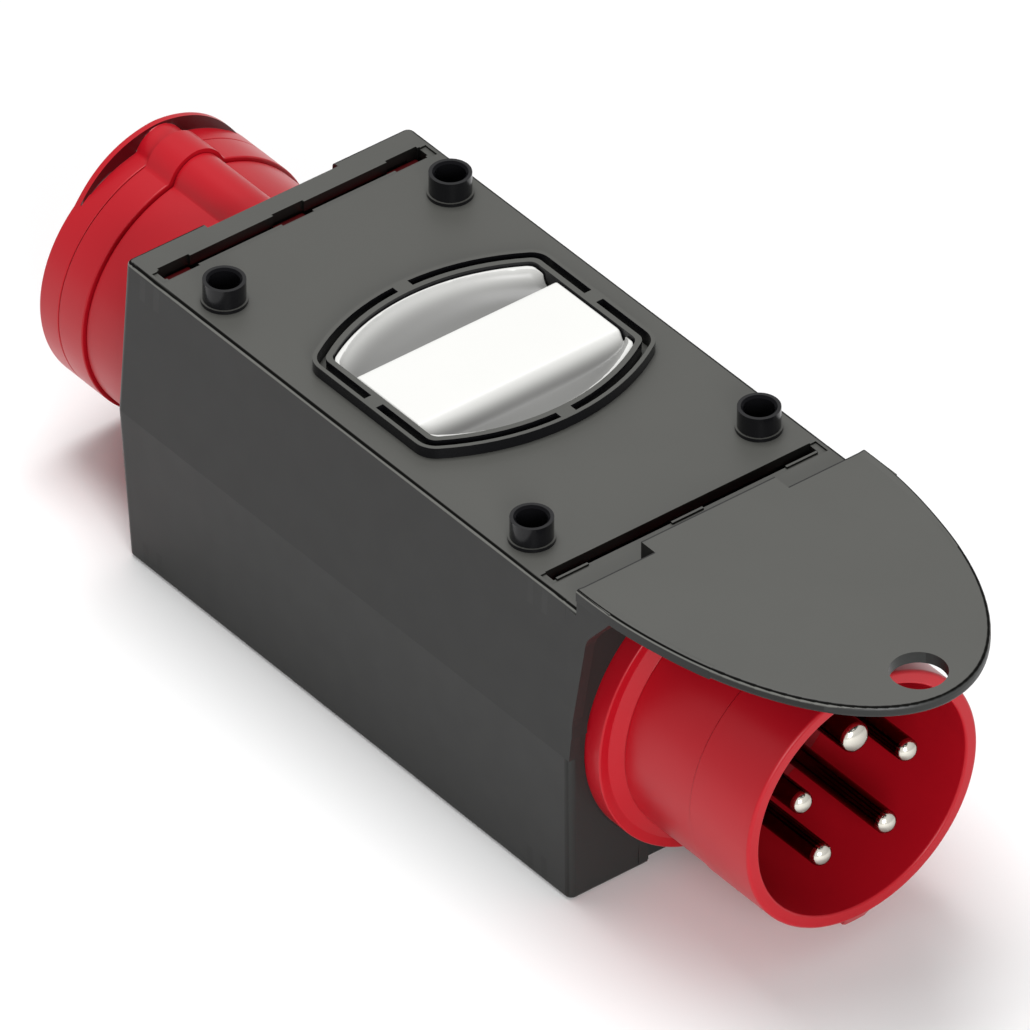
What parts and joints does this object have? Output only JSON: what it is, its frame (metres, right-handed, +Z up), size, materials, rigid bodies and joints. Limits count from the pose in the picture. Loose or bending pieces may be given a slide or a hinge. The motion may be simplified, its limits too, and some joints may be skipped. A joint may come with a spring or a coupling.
{
  "type": "industrial plug adapter",
  "caption": "Adapter with a pin plug under a hanging tab at one end, a sprung-lid coupler at the other, and a pull-out fuse carrier in a black two-shell housing.",
  "frame": {"origin": "centre of the bounding box in plan, on the plane the housing stands on", "axes": "+X along the plug's axis towards the plug, +Y across the housing, +Z up through the fuse window"},
  "size_m": [0.3093, 0.092, 0.0972],
  "materials": {
    "housing_black": "fine moulded satin",
    "connector_red": "smooth moulded gloss",
    "carrier_white": "smooth satin",
    "block_dark_red": "moulded satin",
    "block_grey": "moulded satin",
    "base_grey": "moulded satin",
    "nickel": "bright nickel plate",
    "brass": "turned",
    "steel": "zinc plated",
    "ceramic_white": "glazed",
    "seal_rubber": "soft matt",
    "wire_brown": "smooth",
    "wire_black": "smooth",
    "wire_grey": "smooth",
    "wire_blue": "smooth",
    "wire_green": "smooth"
  },
  "bodies": {
    "adapter": {"contact_base": "block_grey", "contact_block": "block_grey", "coupler_body": "connector_red", "coupler_clamp_screws": "steel", "coupler_collar": "connector_red", "coupler_flange": "connector_red", "coupler_seal": "seal_rubber", "earth_contact": "brass", "earth_pin": "nickel", "earth_wire": "wire_green", "fuse_base": "base_grey", "lid_hinge_pin": "steel", "lid_spring": "steel", "line_clips": "brass", "line_wire_1": "wire_brown", "line_wire_2": "wire_black", "line_wire_3": "wire_grey", "load_clips": "brass", "load_wire_1": "wire_brown", "load_wire_2": "wire_black", "load_wire_3": "wire_grey", "lower_shell": "housing_black", "neutral_contact": "brass", "neutral_pin": "nickel", "neutral_wire": "wire_blue", "phase_1_contact": "brass", "phase_1_pin": "nickel", "phase_2_contact": "brass", "phase_2_pin": "nickel", "phase_3_contact": "brass", "phase_3_pin": "nickel", "pin_block": "block_dark_red", "plug_clamp_screws": "steel", "plug_seal": "seal_rubber", "plug_shroud": "connector_red", "shell_screws": "steel", "upper_shell": "housing_black"},
    "lid": {"coupler_lid": "connector_red", "lid_gasket": "seal_rubber"},
    "carrier": {"fuse_carrier": "carrier_white", "fuse_link_1": "ceramic_white", "fuse_link_2": "ceramic_white", "fuse_link_3": "ceramic_white"}
  },
  "joints": [
    {"name": "lid_hinge", "type": "hinge", "parent": "adapter", "child": "lid", "pos_m": [-0.14595, 0, 0.0054], "axis": [0, -1, 0], "range_deg": [0, 110], "stiffness_Nm_per_rad": 0.02, "springref_deg": -28.65, "deforming": ["lid_spring"]},
    {"name": "carrier_slide", "type": "slide", "parent": "adapter", "child": "carrier", "axis": [0, 0, 1], "range_m": [0, 0.032]}
  ]
}
